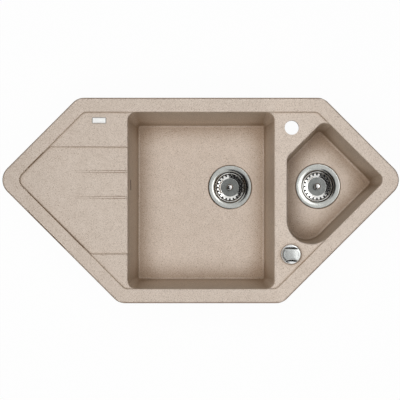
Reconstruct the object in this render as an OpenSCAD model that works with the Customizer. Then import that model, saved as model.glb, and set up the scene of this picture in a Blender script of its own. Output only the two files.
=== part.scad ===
// Corner kitchen sink of stone composite: one and a half bowls, a drainer, two basket
// wastes, a turning control that lifts the main basket, and a rigid overflow.
// Millimetres. The origin lies at the middle of the worktop cut-out, on the worktop's
// surface. X runs along the wall, +Y points to the wall, +Z is up.

/* [Rim and deck] */
// Length from tip to tip
sink_len = 965; // [940:1:1000]
// Depth from front to back
sink_dep = 500; // [490:1:520]
// Distance of both tips behind the middle line
tip_back = 50; // [40:1:60]
// Corner radius at the two tips
tip_r = 40; // [35:1:50]
// Corner radius at the other four corners
corner_r = 35; // [30:1:45]
// Height of the rim above the worktop
rim_h = 8; // [7:0.5:10]
// Radius of the rim's outer lip
lip_r = 4.5; // [3:0.5:5]
// Width of the raised border
band_w = 35; // [32:0.5:38]
// Drop from the border to the deck
step_h = 3.5; // [2.5:0.5:4]
// Slope of that step, from upright
step_slope = 30; // [10:1:40]
// Radius of the step line at the tips
step_tip_r = 21; // [18:1:25]
// Radius of the step line at the other corners
step_corner_r = 18; // [15:1:25]
// Thickness of the deck
deck_t = 10; // [9:0.5:12]
// Width of the rim that rests on the worktop
seat_w = 14; // [12:0.5:15]
// Distance of the sealing strip from the outline
seal_inset = 4; // [3:0.5:5]
// Width of the sealing strip
seal_w = 6; // [4:0.5:7]
// Thickness of the sealing strip
seal_t = 2.5; // [2:0.5:3.5]

/* [Drainer] */
// Width of the drainer, front to back
drainer_w = 258; // [240:1:280]
// Drop from the deck to the drainer at its outer end
drainer_drop = 1.2; // [0.8:0.1:1.5]
// Fall of the drainer towards the bowl
drainer_fall = 2.6; // [2:0.1:3]
// Slope of the drainer's side steps, from upright
drainer_slope = 35; // [20:1:45]
// Place of the first rib, from the middle line
rib_a_y = 70.4; // [60:0.1:80]
// Place of the second rib, from the middle line
rib_b_y = 7.8; // [0:0.1:20]
// Width of a rib's top
rib_w = 3.5; // [3:0.5:5]
// Length of a rib
rib_len = 140; // [120:1:160]

/* [Bowls] */
// Width of the main bowl
main_w = 358; // [350:0.5:366]
// Distance from the main bowl's right edge to the sink's right end
main_to_end = 302.5; // [300:0.5:306]
// Depth of the main bowl below the rim
main_depth = 190; // [180:1:210]
// Corner radius of the main bowl
main_r = 20; // [20:0.5:24]
// Width of the bridge between the bowls
bridge_w = 30; // [26:0.5:32]
// Depth of the half bowl below the rim
half_depth = 130; // [120:1:150]
// Distance from the sink's back edge to the end of the half bowl's long left wall
half_left_back = 145; // [140:0.5:150]
// Corner radius at the half bowl's tip
half_tip_r = 18; // [18:0.5:20]
// Corner radius at the half bowl's back corner
half_back_r = 21; // [20:0.5:24]
// Corner radius at the half bowl's left corner
half_left_r = 20; // [19:0.5:24]
// Radius of the half bowl's round front
half_front_r = 59; // [54:0.5:62]
// Draft of the bowl walls
draft = 4.3; // [3.5:0.1:4.4]
// Radius of a bowl's upper edge at the deck
edge_r = 4.5; // [3:0.5:4.5]
// Radius of a bowl's upper edge at the raised border
border_edge_r = 3; // [2:0.5:3]
// Radius where a bowl's walls meet its floor
floor_r = 5.5; // [5:0.5:5.5]
// Thickness of the bowl walls
wall = 8; // [7:0.5:9]
// Thickness of the bowl floors
floor_t = 9; // [8:0.5:11]
// Outer radius under the bowls
under_r = 12; // [10:0.5:13]

/* [Wastes] */
// Distance of the main waste from the main bowl's right edge
main_waste_in = 103.5; // [90:0.5:120]
// Distance of the half bowl's waste from the half bowl's left edge
half_waste_in = 90; // [87:0.5:93]
// Distance of both wastes behind the middle line
waste_y = 40; // [35:0.5:45]
// Radius of the steel flange
flange_r = 57; // [56:0.5:58]
// Thickness of the steel flange
flange_t = 2; // [1.5:0.1:2.5]
// Radius of the hole in the bowl floor
waste_hole_r = 45; // [44.5:0.1:45.5]
// Inner radius of the steel cup
cup_r = 39.5; // [39:0.1:40]
// Sheet thickness of the cup and the basket
sheet = 1.2; // [1:0.1:1.5]
// Depth of the dished mouth of the cup
dish_depth = 9; // [8:0.5:10]
// Depth of the ledge that the plug closes on
ledge_depth = 29.5; // [29:0.5:31]
// Inner radius of the ledge
ledge_r = 33; // [32:0.5:34]
// Depth of the cup's bottom
cup_depth = 37; // [36.5:0.5:39]
// Thickness of the rubber rings
ring_t = 1; // [0.8:0.1:1.2]
// Thickness of the gasket under the floor
gasket_t = 3; // [2:0.5:4]
// Number of holes in the cup's bottom
cup_holes = 8; // [6:1:8]
// Inner radius of the plastic body
body_r = 44.4; // [44:0.1:45]
// Wall of the plastic body
body_wall = 4; // [3.5:0.1:4.5]
// Depth of the plastic body's straight part
body_depth = 60; // [60:1:66]
// Outer radius of the outlet thread
outlet_r = 23.9; // [23.5:0.1:24.2]
// Wall of the outlet
outlet_wall = 3.4; // [3:0.1:4]
// Length of the outlet
outlet_len = 22; // [20:1:30]

/* [Baskets] */
// Outer radius of the basket's rim
basket_r = 38.4; // [38:0.1:38.8]
// Radius of the basket's floor
basket_floor_r = 25.5; // [24:0.5:27]
// Height of the basket
basket_h = 16; // [15:0.5:17]
// Number of slots round the basket
slot_count = 20; // [16:1:24]
// Width of a basket slot
slot_w = 4.4; // [3.5:0.1:4.8]
// Radius of the plug's rubber disc
plug_r = 37.5; // [37:0.1:38]
// Thickness of the plug's rubber disc
plug_t = 3; // [2.5:0.1:3.5]
// Radius of the basket's knob
pull_r = 8.7; // [8:0.1:10]
// Height of the basket's knob above the basket floor
pull_h = 19; // [17:0.5:20]

/* [Lift gear] */
// Radius of the lift pin
pin_r = 3; // [2.5:0.1:3.2]
// Running clearance, radial
run_gap = 0.05; // [0.03:0.01:0.08]
// Gap where one moving piece rests on another
rest_gap = 0.3; // [0.2:0.05:0.4]
// Rise of the main basket
lift_rise = 8; // [7:0.5:8]
// Length of the lever arm
lever_arm = 26; // [26:0.5:28]
// Thickness of the lever arm
lever_t = 5; // [4:0.5:5]
// Length of the crank arm outside
crank_arm = 32; // [30:0.5:34]
// Radius of the lever's axle
axle_r = 3; // [2.5:0.1:3.5]

/* [Control] */
// Distance of the control to the right of the half bowl's left edge
control_in = 10; // [8:0.5:12]
// Place of the control, front to back
control_y = -131; // [-134:0.5:-128]
// Radius of the hole in the deck
deck_hole_r = 17.5; // [17:0.1:18]
// Radius of the base plate
base_r = 24; // [23.5:0.1:25]
// Thickness of the base plate
base_t = 3; // [2.5:0.1:3.5]
// Radius of the knob
knob_r = 23; // [22:0.1:23.5]
// Height of the knob
knob_h = 14; // [12:0.5:16]
// Distance of the grip's straight back from the knob's middle
grip_back = 14; // [12:0.5:15]
// Distance of the grip's hollow front from the knob's middle
grip_front = 13; // [12:0.5:15]
// Radius of that hollow
grip_hollow_r = 35; // [30:1:45]
// Radius of the spindle
spindle_r = 4; // [3.5:0.1:4.5]
// Length of the threaded sleeve below the deck
sleeve_len = 28; // [26:1:32]
// Wall of the threaded sleeve
sleeve_wall = 3; // [2.5:0.1:3.5]
// Radius of the nut under the deck
nut_r = 26; // [25:0.5:27]

/* [Overflow and tap] */
// Width of the overflow slot
slot_len = 27; // [25:0.5:30]
// Height of the overflow slot
slot_h = 9; // [8:0.5:10]
// Depth of the overflow slot below the rim
slot_depth = 58; // [55:1:65]
// Outer radius of the overflow pipe
pipe_r = 11; // [10.5:0.1:11.5]
// Wall of the overflow pipe
pipe_wall = 1.8; // [1.5:0.1:2]
// Drop of the overflow elbow's mouth below the slot
elbow_drop = 34; // [34:1:38]
// Bend radius of the overflow pipe
bend_r = 32; // [28:1:36]
// Distance of the tap hole to the right of the half bowl's left edge
tap_in = 12; // [9:0.5:15]
// Place of the tap hole, front to back
tap_y = 177.5; // [175:0.5:180]

/* [Fixings] */
// Distance of the fixing screws from the outline
clip_inset = 33; // [32:0.5:36]
// Distance of the back fixings from the edges of the bowls beside them
back_fixing = [62, 48]; // [40:1:70]
// Distance of the front fixings from the front corners
front_fixing = 52; // [46:1:58]
// Place of the other fixings, as a share of their side
side_fixing = [0.566, 0.377]; // [0.1:0.001:0.9]
// Reach of a clip behind its screw
clip_back = 14; // [13:0.5:16]
// Thickness of worktop that the clips are set for
worktop_t = 38; // [28:1:40]
// Width of a clip
clip_w = 18; // [16:1:20]
// Thickness of a clip
clip_t = 4; // [3:0.5:4]
// Radius of the fixing screws
screw_r = 2.2; // [2:0.1:2.5]

/* [Hidden] */
$fn = 64;
cut = 1;
round_steps = 6;
hair = 0.03;
lap = 0.3;
deck_z = rim_h - step_h;
under_z = deck_z - deck_t;
main_floor = rim_h - main_depth;
half_floor = rim_h - half_depth;
half_y = sink_dep / 2;
tip_x = sink_len / 2 + tip_r * (sqrt(2) - 1);
main_right = sink_len / 2 - main_to_end;
main_left = main_right - main_w;
half_left = main_right + bridge_w;
half_left_y = half_y - half_left_back;
main_waste_x = main_right - main_waste_in;
half_waste_x = half_left + half_waste_in;
control_x = half_left + control_in;
tap_x = half_left + tap_in;
stone = [0.79, 0.72, 0.65];
steel = [0.72, 0.73, 0.73];
chrome = [0.85, 0.86, 0.87];
rubber = [0.12, 0.12, 0.12];
plastic = [0.90, 0.90, 0.88];
dark_plastic = [0.25, 0.25, 0.27];
brass = [0.80, 0.66, 0.38];

// An outline is a list of [x, y, radius] corners, counter-clockwise.
function unit(v) = v / norm(v);
function xy(p) = [p[0], p[1]];
function after(c, i) = (i + 1) % len(c);
function before(c, i) = (i + len(c) - 1) % len(c);
function heading(c, i) = unit(xy(c[after(c, i)]) - xy(c[i]));
function outward(c, i) = [heading(c, i)[1], -heading(c, i)[0]];
function centre(c, i) =
    let (a = outward(c, before(c, i)), b = outward(c, i))
    xy(c[i]) - (a + b) * c[i][2] / (1 + a * b);
function least_r(c) = min([for (p = c) p[2]]);
// The same outline, moved outwards by w round the same centres
function grown(c, w) = [for (i = [0:len(c) - 1])
    let (m = centre(c, i), k = (c[i][2] + w) / c[i][2], v = m + (xy(c[i]) - m) * k)
    [v[0], v[1], c[i][2] + w]];
// The core's corners, e further out than the strips' inner edge, and just past the
// planes where each wedge begins and ends
function feet(c, low_r, e) = [for (i = [0:len(c) - 1]) for (j = [before(c, i), i])
    centre(c, i) + outward(c, j) * (c[i][2] - low_r + e)
        + heading(c, j) * (j == i ? -lap : lap) / 2];
function rims(c) = [for (i = [0:len(c) - 1]) for (j = [before(c, i), i])
    centre(c, i) + outward(c, j) * c[i][2]];
// Points of a round, from angle a to angle b
function round_points(m, r, a, b, steps) = [for (k = [0:steps])
    let (t = a + (b - a) * k / steps) m + r * [cos(t), sin(t)]];

// Six-sided outline, set in from the sink's own by inset
function hexagon(inset, at_tips, at_corners) =
    let (x = tip_x - inset * sqrt(2), y = half_y - inset,
        back = x - (y - tip_back), front = x - (y + tip_back))
    [[x, tip_back, at_tips], [back, y, at_corners], [-back, y, at_corners],
        [-x, tip_back, at_tips], [-front, -y, at_corners], [front, -y, at_corners]];
rim_line = hexagon(0, tip_r, corner_r);
step_line = hexagon(band_w, step_tip_r, step_corner_r);
step_tip_x = tip_x - band_w * sqrt(2);
step_foot = step_h / 2 * tan(step_slope);
main_line = [[main_left, band_w - half_y, main_r], [main_right, band_w - half_y, main_r],
    [main_right, half_y - band_w, main_r], [main_left, half_y - band_w, main_r]];
half_back_x = (step_tip_x + tip_back + half_left - half_left_y) / 2;
half_line = [[half_left, half_left - step_tip_x + tip_back, half_front_r],
    [step_tip_x, tip_back, half_tip_r],
    [half_back_x, half_back_x - half_left + half_left_y, half_back_r],
    [half_left, half_left_y, half_left_r]];

// Flat area of an outline
module area(c) {
    polygon(rims(c));
    for (i = [0:len(c) - 1]) translate(centre(c, i)) circle(c[i][2]);
}

// Solid whose wall follows an outline. The wall's section is a line of points from its
// foot to its top, each [distance outwards from the outline, height]. It is put together
// from a core, a straight strip on each side, and a wedge at each corner that stands
// back by a hair, so that no two faces only touch.
module walled(c, section) {
    low_r = least_r(c);
    low = section[0][1];
    line = [for (p = section) p - [0, low]];
    translate([0, 0, low]) {
        linear_extrude(line[len(line) - 1][1]) polygon(feet(c, low_r, 0.6));
        for (i = [0:len(c) - 1]) {
            n = outward(c, i);
            a = atan2(outward(c, before(c, i))[1], outward(c, before(c, i))[0]);
            b = atan2(n[1], n[0]);
            start = centre(c, i) + n * (c[i][2] - low_r) - heading(c, i) * lap;
            stop = centre(c, after(c, i)) + n * (c[after(c, i)][2] - low_r);
            translate(centre(c, i)) rotate([0, 0, a])
                rotate_extrude(angle = (b - a + 360) % 360)
                against_wall(0, c[i][2] - hair, line);
            translate(start) rotate([0, 0, b + 90]) rotate([90, 0, 90])
                linear_extrude(norm(stop - start) + lap) mirror([1, 0])
                against_wall(-1, low_r, line);
        }
    }
}
module against_wall(from, r, line) {
    polygon(concat([[from, 0]], [for (p = line) p + [r, 0]], [[from, line[len(line) - 1][1]]]));
}

// Section of a drafted wall that meets the floor in a round, and stands at 0 at the
// deck's height
function drafted(floor_z, fillet) =
    let (foot = (fillet - deck_z + floor_z) * tan(draft) - fillet / cos(draft))
    round_points([foot, floor_z + fillet], fillet, -90, -draft, round_steps);
// Section of a rounded upper edge, from the wall to a surface at height top
function edge(top, r, start) = concat(
    [for (t = [0:12.5:75]) [r * (1 - cos(t)) - start, top - r + r * sin(t)]],
    [[1.05 * r - start, top + 0.05 * r], [1.05 * r - start, top + 0.05 * r + cut]]);
module bowl_hollow(c, floor_z) {
    walled(c, concat(drafted(floor_z, floor_r), [[0, deck_z]], edge(rim_h, border_edge_r, 0)));
}
// Rounded edges at the deck, and at the end of the lowered drainer
module deck_edge(c) {
    inset = band_w + step_foot - 0.15;
    intersection() {
        walled(c, edge(deck_z, edge_r, 0.5));
        translate([0, 0, -edge_r]) linear_extrude(4 * edge_r)
            area(hexagon(inset, step_tip_r - inset + band_w, step_corner_r - inset + band_w));
    }
}
module drainer_edge() {
    reach = drainer_w / 2 + 0.7;
    intersection() {
        walled(main_line, edge(drainer_low, edge_r, 0.5));
        translate([main_left - 2 * edge_r, -reach, -2 * edge_r])
            cube([3 * edge_r, 2 * reach, 4 * edge_r]);
    }
}
module bowl_shell(c, floor_z) {
    low = floor_z - floor_t;
    walled(grown(c, wall), concat(drafted(low, under_r), [[-deck_z * tan(draft), 0]]));
}
module rim_plate() {
    difference() {
        walled(rim_line, concat([[0, 0]],
            round_points([-lip_r, rim_h - lip_r], lip_r, 0, 90, round_steps),
            [[-lip_r, rim_h + cut]]));
        translate([-sink_len, -sink_dep, rim_h]) cube([2 * sink_len, 2 * sink_dep, 2 * cut]);
    }
}
module step_hollow() {
    rise = (rim_h + cut - deck_z) * tan(step_slope);
    walled(step_line, [[-step_foot, deck_z], [rise - step_foot, rim_h + cut]]);
}

drainer_inset = band_w + step_foot - 0.4;

// Lowered drainer: it falls towards the bowl, and its ribs keep the height at which
// they start, so they rise out of it
function drainer_z(x) = deck_z - drainer_drop
    - drainer_fall * (x + step_tip_x) / (main_left + step_tip_x);
drainer_low = drainer_z(main_left);
rib_top = drainer_z(main_left - rib_len);
module drainer_hollow() {
    past = main_left + main_r;
    high = deck_z + cut;
    low = drainer_z(past);
    spread = (high - low) * tan(drainer_slope);
    difference() {
        intersection() {
            translate([0, half_y, 0]) rotate([90, 0, 0]) linear_extrude(sink_dep)
                polygon([[-step_tip_x, drainer_z(-step_tip_x)], [past, low], [past, high],
                    [-step_tip_x, high]]);
            translate([-step_tip_x, 0, 0]) rotate([90, 0, 90])
                linear_extrude(step_tip_x + past)
                polygon([[-drainer_w / 2, low], [drainer_w / 2, low],
                    [drainer_w / 2 + spread, high], [-drainer_w / 2 - spread, high]]);
            translate([0, 0, low - cut]) linear_extrude(high - low + 2 * cut)
                area(hexagon(drainer_inset, step_tip_r - drainer_inset + band_w,
                    step_corner_r - drainer_inset + band_w));
        }
        for (y = [rib_a_y, rib_b_y]) drainer_rib(y);
    }
}
module drainer_rib(y) {
    low = drainer_z(main_left + main_r) - cut;
    foot_w = rib_w + 2 * (rib_top - low);
    translate([main_left - rib_len - main_r, y, 0]) rotate([90, 0, 90])
        linear_extrude(rib_len + 3 * main_r)
        polygon([[-foot_w / 2, low], [foot_w / 2, low], [rib_w / 2, rib_top],
            [-rib_w / 2, rib_top]]);
}

// Overflow: the slot, and the pad outside the wall that its elbow is screwed to
slot_z = rim_h - slot_depth;
pad_x = main_left - wall - 4;
pad_size = [58, 36];
overflow_screw_y = 22;
module overflow_pad() {
    translate([pad_x, waste_y - pad_size[0] / 2, slot_z - pad_size[1] / 2])
        cube([-pad_x + main_left - 2, pad_size[0], pad_size[1]]);
}
module overflow_slot(from_x, to_x) {
    translate([from_x, waste_y, slot_z]) rotate([90, 0, 90]) linear_extrude(to_x - from_x) {
        square([slot_len - slot_h, slot_h], center = true);
        for (s = [-1, 1]) translate([s * (slot_len - slot_h) / 2, 0]) circle(slot_h / 2);
    }
}

// Fixing points: [x, y, angle outwards], set in from the outline
function on_side(i, along) =
    let (p = xy(rim_line[i]) + heading(rim_line, i) * along
        - outward(rim_line, i) * clip_inset, n = outward(rim_line, i))
    [p[0], p[1], atan2(n[1], n[0])];
boss_r = 8;
boss_h = 9;
function side(i) = norm(xy(rim_line[after(rim_line, i)]) - xy(rim_line[i]));
function at_back(x) = [x, half_y - clip_inset, 90];
fixings = [at_back(half_left + back_fixing[1]), at_back(main_left - back_fixing[0]),
    on_side(2, side(2) * side_fixing[0]), on_side(3, side(3) * side_fixing[1]),
    on_side(3, side(3) - front_fixing), on_side(5, front_fixing)];
module at_fixings() {
    for (f = fixings) translate([f[0], f[1], 0]) rotate([0, 0, f[2]]) children();
}
boss_z = under_z - boss_h;
clip_z = clip_t - worktop_t - 8;

// The moulded sink
module sink_body() {
    color(stone) difference() {
        union() {
            rim_plate();
            translate([0, 0, under_z]) linear_extrude(1 - under_z)
                area(hexagon(seat_w, tip_r - seat_w, corner_r - seat_w));
            bowl_shell(main_line, main_floor);
            bowl_shell(half_line, half_floor);
            overflow_pad();
            at_fixings() translate([0, 0, boss_z]) cylinder(h = boss_h + cut, r = boss_r);
        }
        step_hollow();
        drainer_hollow();
        bowl_hollow(main_line, main_floor);
        bowl_hollow(half_line, half_floor);
        deck_edge(main_line);
        deck_edge(half_line);
        drainer_edge();
        waste_hole(main_waste_x, main_floor);
        waste_hole(half_waste_x, half_floor);
        translate([tap_x, tap_y, under_z - cut]) cylinder(h = deck_t + 2 * cut, r = deck_hole_r);
        translate([control_x, control_y, under_z - cut])
            cylinder(h = deck_t + 2 * cut, r = deck_hole_r);
        overflow_slot(pad_x - cut, main_left + main_r);
        for (s = [-1, 1]) translate([pad_x - cut, waste_y + s * overflow_screw_y, slot_z])
            rotate([0, 90, 0]) cylinder(h = 8, r = screw_r + run_gap);
        at_fixings() translate([0, 0, boss_z - cut])
            cylinder(h = boss_h + cut, r = screw_r + run_gap);
        seal_ring(cut);
    }
}
module waste_hole(x, floor_z) {
    translate([x, waste_y, floor_z]) {
        translate([0, 0, -ring_t - flange_t]) cylinder(h = ring_t + flange_t + cut, r = flange_r + 1.5);
        translate([0, 0, -floor_t - cut]) cylinder(h = floor_t + 2 * cut, r = waste_hole_r);
    }
}
module seal_ring(past) {
    end = seal_inset + seal_w;
    translate([0, 0, -past]) linear_extrude(seal_t + past) difference() {
        area(hexagon(seal_inset, tip_r - seal_inset, corner_r - seal_inset));
        area(hexagon(end, tip_r - end, corner_r - end));
    }
}
module rim_seal() {
    color(rubber) seal_ring(0);
}

// Claw clips that pull the sink down on the worktop, with their long screws
module fixing_clips() {
    reach = clip_inset - 6;
    color(dark_plastic) at_fixings() difference() {
        translate([0, clip_w / 2, 0]) rotate([90, 0, 0]) linear_extrude(clip_w)
            polygon([[-clip_back, under_z], [-clip_back, clip_z - clip_t], [reach, clip_z - clip_t],
                [reach, -worktop_t], [reach - clip_t, -worktop_t],
                [reach - clip_t, clip_z], [clip_t - clip_back, clip_z],
                [clip_t - clip_back, under_z]]);
        translate([0, 0, clip_z - clip_t - cut]) cylinder(h = clip_t + 2 * cut, r = screw_r + 0.4);
    }
}
module fixing_screws() {
    head_z = clip_z - clip_t;
    color(steel) at_fixings() {
        translate([0, 0, head_z - 3]) difference() {
            cylinder(h = 3, r = screw_r * 2);
            translate([-0.6, -screw_r * 2 - cut, -cut]) cube([1.2, screw_r * 4 + 2 * cut, 1.2 + cut]);
        }
        translate([0, 0, head_z]) cylinder(h = under_z - head_z - 3, r = screw_r);
    }
}

// Wastes. Each part is drawn with the bowl's floor at 0.
module at_main() {
    translate([main_waste_x, waste_y, main_floor]) children();
}
module at_half() {
    translate([half_waste_x, waste_y, half_floor]) children();
}
mouth_r = waste_hole_r - 1.5;
module waste_cup() {
    dish_r = cup_r;
    difference() {
        rotate_extrude() polygon([[mouth_r, 0], [flange_r - 1, 0], [flange_r, -1],
            [flange_r, -flange_t], [mouth_r + 1, -flange_t],
            [dish_r + sheet, -dish_depth], [dish_r + sheet, -ledge_depth - sheet],
            [ledge_r + sheet, -ledge_depth - sheet], [ledge_r + sheet, -cup_depth - sheet],
            [0, -cup_depth - sheet], [0, -cup_depth], [ledge_r, -cup_depth],
            [ledge_r, -ledge_depth], [dish_r, -ledge_depth], [dish_r, -dish_depth]]);
        translate([0, 0, -cup_depth - sheet - cut]) {
            cylinder(h = sheet + 2 * cut, r = sleeve_r + 0.2);
            for (i = [0:cup_holes - 1]) rotate([0, 0, i * 360 / cup_holes])
                translate([22, 0, 0]) cylinder(h = sheet + 2 * cut, r = 6);
        }
    }
}
module flange_seal() {
    rotate_extrude() translate([waste_hole_r + 1, -flange_t - ring_t])
        square([flange_r - waste_hole_r - 2, ring_t]);
}
module body_gasket() {
    rotate_extrude() translate([body_r + 1.5, -floor_t - gasket_t])
        square([flange_r - body_r - 3, gasket_t]);
}
sleeve_r = 6;
head_r = 9;
head_t = 2.5;
boss_top = -cup_depth - sheet - 0.4;
boss_low = -50;
top_z = -floor_t - gasket_t;
outlet_z = -body_depth - 16;
module waste_body() {
    difference() {
        union() {
            rotate_extrude() polygon([[body_r, top_z], [flange_r - 1, top_z],
                [flange_r - 1, top_z - 6], [body_r + body_wall, top_z - 6],
                [body_r + body_wall, -body_depth], [outlet_r, outlet_z],
                [outlet_r, outlet_z - outlet_len], [outlet_r - outlet_wall, outlet_z - outlet_len],
                [outlet_r - outlet_wall, outlet_z], [body_r, -body_depth]]);
            translate([0, 0, boss_low]) cylinder(h = boss_top - boss_low, r = 10);
            for (a = [45:90:315]) rotate([0, 0, a]) translate([8, -1.5, boss_low + 2])
                cube([body_r - 7, 3, 6]);
        }
        translate([0, 0, boss_low - cut])
            cylinder(h = boss_top - boss_low + 2 * cut, r = sleeve_r + run_gap);
    }
}
module clamp_screw(bore_r) {
    difference() {
        union() {
            translate([0, 0, -cup_depth]) cylinder(h = head_t, r = head_r);
            translate([0, 0, boss_low]) cylinder(h = -cup_depth - boss_low + cut, r = sleeve_r);
        }
        if (bore_r > 0)
            translate([0, 0, boss_low - cut]) cylinder(h = 50, r = bore_r);
        else
            translate([-head_r - cut, -1, head_t - cup_depth - 1.4])
                cube([2 * head_r + 2 * cut, 2, 1.4 + cut]);
    }
}

// Baskets, closed: the plug lies just above the ledge
plug_low = rest_gap - ledge_depth;
basket_low = plug_low + plug_t;
basket_floor = basket_low + sheet;
basket_top = basket_low + basket_h;
stem_r = 3;
nut_t = 2.5;
slot_in = basket_floor_r + 2.5;
slot_out = basket_r - 4.5;
module basket() {
    lip = 2;
    wall_r = basket_r - lip;
    difference() {
        rotate_extrude() {
            polygon([[stem_r + run_gap, basket_low], [basket_floor_r, basket_low],
                [wall_r, basket_top - lip], [wall_r, basket_top - lip / 2],
                [wall_r - sheet, basket_top - lip / 2], [wall_r - sheet, basket_top - lip],
                [basket_floor_r - sheet, basket_floor], [stem_r + run_gap, basket_floor]]);
            translate([basket_r - lip, basket_top - lip / 2]) circle(lip / 2 + 0.4);
        }
        for (i = [0:slot_count - 1]) rotate([0, 0, (i + 0.5) * 360 / slot_count])
            translate([slot_in, -slot_w / 2, basket_low]) cube([slot_out - slot_in, slot_w, basket_h]);
    }
}
module plug_seal() {
    rotate_extrude() polygon([[stem_r + run_gap, plug_low], [plug_r - 1, plug_low],
        [plug_r, plug_low + 1], [plug_r - 1, basket_low], [stem_r + run_gap, basket_low]]);
}
module basket_knob() {
    base = basket_floor;
    head = base + pull_h;
    neck = 4.2;
    rotate_extrude() {
        polygon([[0, plug_low - nut_t], [stem_r, plug_low - nut_t], [stem_r, base], [neck + 2, base],
            [neck, base + 3], [neck, head - 6], [pull_r - 1, head - 4.5], [pull_r, head - 3],
            [pull_r - 1.2, head - 1.5], [pull_r - 4, head - 0.4], [0, head]]);
    }
}
module stem_nut() {
    translate([0, 0, plug_low - nut_t]) difference() {
        cylinder(h = nut_t, r = 8, $fn = 6);
        translate([0, 0, -cut]) cylinder(h = nut_t + 2 * cut, r = stem_r + run_gap);
    }
}

// Lift gear: the crank turns the axle, whose lever pushes the pin up the hollow screw
lever_angle = 2 * asin(lift_rise / 2 / lever_arm);
lever_drop = lift_rise / 2;
axle_z = -57;
lever_rest = asin(lever_drop / lever_arm);
pin_low = axle_z - lever_drop + lever_t / 2 + 2 * rest_gap;
pin_high = plug_low - nut_t - rest_gap;
hub_r = 6.5;
bearing_in = 30;
bearing_out = 54;
crank_y = bearing_out + rest_gap;
crank_t = 4;
crank_pin_r = 1.6;
module lift_pin() {
    translate([0, 0, pin_low]) cylinder(h = pin_high - pin_low, r = pin_r);
}
module lift_lever() {
    color(plastic) at_main() difference() {
        translate([lever_arm, 0, axle_z]) rotate([90, 0, 0]) translate([0, 0, -lever_t])
            linear_extrude(2 * lever_t) {
                circle(hub_r);
                rotate(180 + lever_rest) {
                    translate([0, -lever_t / 2]) square([lever_arm, lever_t]);
                    translate([lever_arm, 0]) circle(lever_t / 2);
                }
            }
        axle_bore(axle_r);
    }
}
module axle_bore(r) {
    translate([lever_arm, lever_t + cut, axle_z]) rotate([90, 0, 0])
        cylinder(h = bearing_out + 20, r = r);
}
module lift_axle() {
    color(steel) at_main() translate([lever_arm, lever_t, axle_z]) rotate([90, 0, 0])
        cylinder(h = lever_t + crank_y + crank_t, r = axle_r);
}
module lift_crank() {
    color(dark_plastic) at_main() difference() {
        translate([lever_arm, -crank_y, axle_z]) rotate([90, 0, 0]) linear_extrude(crank_t)
            difference() {
                union() {
                    circle(hub_r);
                    translate([-4, 0]) square([8, crank_arm]);
                    translate([0, crank_arm]) circle(4);
                }
                translate([0, crank_arm]) circle(crank_pin_r);
            }
        axle_bore(axle_r);
    }
}
inlet_z = -48;
inlet_out = 76;
thread_r = pipe_r + 4;
gland_y = -crank_y - crank_t / 2;
gland_z = axle_z + crank_arm;
module main_waste_body() {
    color(plastic) at_main() difference() {
        union() {
            waste_body();
            translate([-inlet_out, 0, inlet_z]) rotate([0, 90, 0])
                cylinder(h = inlet_out - body_r - 1, r = thread_r);
            translate([lever_arm, -bearing_in, axle_z]) rotate([90, 0, 0])
                cylinder(h = bearing_out - bearing_in, r = hub_r);
            translate([-16, gland_y - 6, gland_z - 8]) cube([6, 12, top_z - gland_z + 7]);
            translate([-26, gland_y, gland_z]) rotate([0, 90, 0]) cylinder(h = 14, r = 5);
        }
        translate([-inlet_out - cut, 0, inlet_z]) rotate([0, 90, 0])
            cylinder(h = inlet_out - body_r + 4, r = pipe_r + 0.1);
        translate([-26 - cut, gland_y, gland_z]) rotate([0, 90, 0]) cylinder(h = 20, r = 1.5);
        axle_bore(axle_r + run_gap);
    }
}
module half_waste_body() {
    color(plastic) at_half() waste_body();
}

// Control on the deck
module at_control() {
    translate([control_x, control_y, 0]) children();
}
gasket_z = deck_z + ring_t;
base_z = gasket_z + base_t;
knob_z = base_z + 0.5;
sleeve_r_out = deck_hole_r - 0.5;
sleeve_low = under_z - sleeve_len;
housing_low = sleeve_low - 22;
housing_r = sleeve_r_out + 3;
wheel_z = sleeve_low - 14;
wheel_t = 8;
wheel_r = 9;
module control_knob() {
    foot = 3.5;
    color(chrome) at_control() difference() {
        union() {
            translate([0, 0, knob_z]) rotate_extrude() polygon([[0, 0], [knob_r, 0],
                [knob_r, foot - 2], [knob_r - 2, foot], [0, foot]]);
            translate([0, 0, knob_z]) intersection() {
                rotate_extrude() polygon([[0, 0], [knob_r - 0.3, 0], [knob_r - 0.3, knob_h - 3],
                    [knob_r - 1.3, knob_h - 1], [knob_r - 3.3, knob_h], [0, knob_h]]);
                linear_extrude(knob_h) difference() {
                    translate([-knob_r, -knob_r]) square([2 * knob_r, knob_r + grip_back]);
                    translate([0, -grip_front - grip_hollow_r]) circle(grip_hollow_r, $fn = 128);
                }
            }
        }
        translate([0, 0, knob_z - cut]) cylinder(h = knob_h - 4 + cut, r = spindle_r);
    }
}
module control_spindle() {
    color(steel) at_control() translate([0, 0, housing_low + 1.5])
        cylinder(h = knob_z + knob_h - 4 - housing_low - 1.5, r = spindle_r);
}
module cable_wheel() {
    groove = 2.7;
    color(plastic) at_control() translate([0, 0, wheel_z]) rotate_extrude()
        polygon([[spindle_r, 0], [wheel_r, 0], [wheel_r, 2.5], [wheel_r - groove, 3.2],
            [wheel_r - groove, wheel_t - 3.2], [wheel_r, wheel_t - 2.5], [wheel_r, wheel_t],
            [spindle_r, wheel_t]]);
}
module control_escutcheon() {
    color(chrome) at_control() translate([0, 0, gasket_z]) rotate_extrude()
        polygon([[spindle_r + 0.5, 0], [base_r, 0], [base_r, base_t - 1.5],
            [base_r - 1.5, base_t], [spindle_r + 0.5, base_t]]);
}
module control_gasket() {
    color(rubber) at_control() translate([0, 0, deck_z]) rotate_extrude()
        translate([sleeve_r_out + 0.3, 0]) square([base_r - sleeve_r_out - 2, ring_t]);
}
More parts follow.
